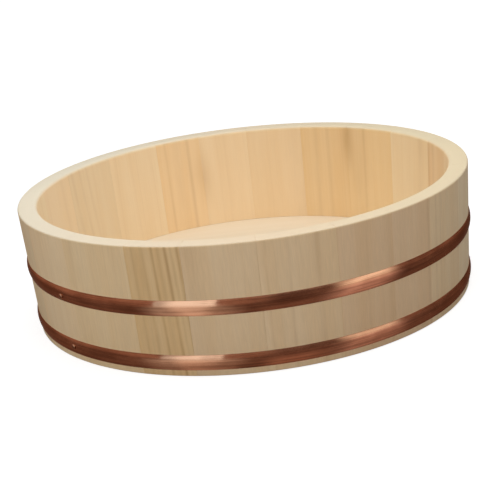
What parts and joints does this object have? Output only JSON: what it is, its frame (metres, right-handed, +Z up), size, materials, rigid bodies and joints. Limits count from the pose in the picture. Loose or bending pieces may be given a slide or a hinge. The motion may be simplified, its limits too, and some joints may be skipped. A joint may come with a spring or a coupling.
{
  "type": "sushi rice tub",
  "caption": "Shallow round wooden tub of upright staves around a boarded floor, bound by copper hoops, for dressing and cooling sushi rice.",
  "frame": {"origin": "centre of the foot, on the surface that the tub stands on", "axes": "+Z up along the tub's own axis; the floor boards run along X; -Y is the side nearest the picture's camera"},
  "size_m": [0.3299, 0.3298, 0.09],
  "materials": {
    "stave_timber": "planed, unfinished pale softwood with upright grain",
    "floor_timber": "planed, unfinished pale softwood with grain along the boards",
    "bamboo": "split bamboo, bare",
    "hoop_copper": "drawn copper strip, satin, lightly tarnished",
    "nail_copper": "small domed copper nail heads, satin"
  },
  "bodies": {
    "root": {"stave_01": "stave_timber", "stave_02": "stave_timber", "stave_03": "stave_timber", "stave_04": "stave_timber", "stave_05": "stave_timber", "stave_06": "stave_timber", "stave_07": "stave_timber", "stave_08": "stave_timber", "stave_09": "stave_timber", "stave_10": "stave_timber", "stave_11": "stave_timber", "stave_12": "stave_timber", "stave_13": "stave_timber", "stave_14": "stave_timber", "stave_15": "stave_timber", "stave_16": "stave_timber", "stave_17": "stave_timber", "stave_18": "stave_timber", "stave_19": "stave_timber", "stave_20": "stave_timber", "stave_21": "stave_timber", "stave_22": "stave_timber", "stave_pin_01": "bamboo", "stave_pin_02": "bamboo", "stave_pin_03": "bamboo", "stave_pin_04": "bamboo", "stave_pin_05": "bamboo", "stave_pin_06": "bamboo", "stave_pin_07": "bamboo", "stave_pin_08": "bamboo", "stave_pin_09": "bamboo", "stave_pin_10": "bamboo", "stave_pin_11": "bamboo", "stave_pin_12": "bamboo", "stave_pin_13": "bamboo", "stave_pin_14": "bamboo", "stave_pin_15": "bamboo", "stave_pin_16": "bamboo", "stave_pin_17": "bamboo", "stave_pin_18": "bamboo", "stave_pin_19": "bamboo", "stave_pin_20": "bamboo", "stave_pin_21": "bamboo", "stave_pin_22": "bamboo", "floor_board_1": "floor_timber", "floor_board_2": "floor_timber", "floor_board_3": "floor_timber", "floor_board_4": "floor_timber", "floor_pin_1": "bamboo", "floor_pin_2": "bamboo", "floor_pin_3": "bamboo", "floor_pin_4": "bamboo", "floor_pin_5": "bamboo", "floor_pin_6": "bamboo", "lower_hoop": "hoop_copper", "lower_hoop_front_nail": "nail_copper", "lower_hoop_back_nail": "nail_copper", "upper_hoop": "hoop_copper", "upper_hoop_front_nail": "nail_copper", "upper_hoop_back_nail": "nail_copper"}
  },
  "joints": []
}
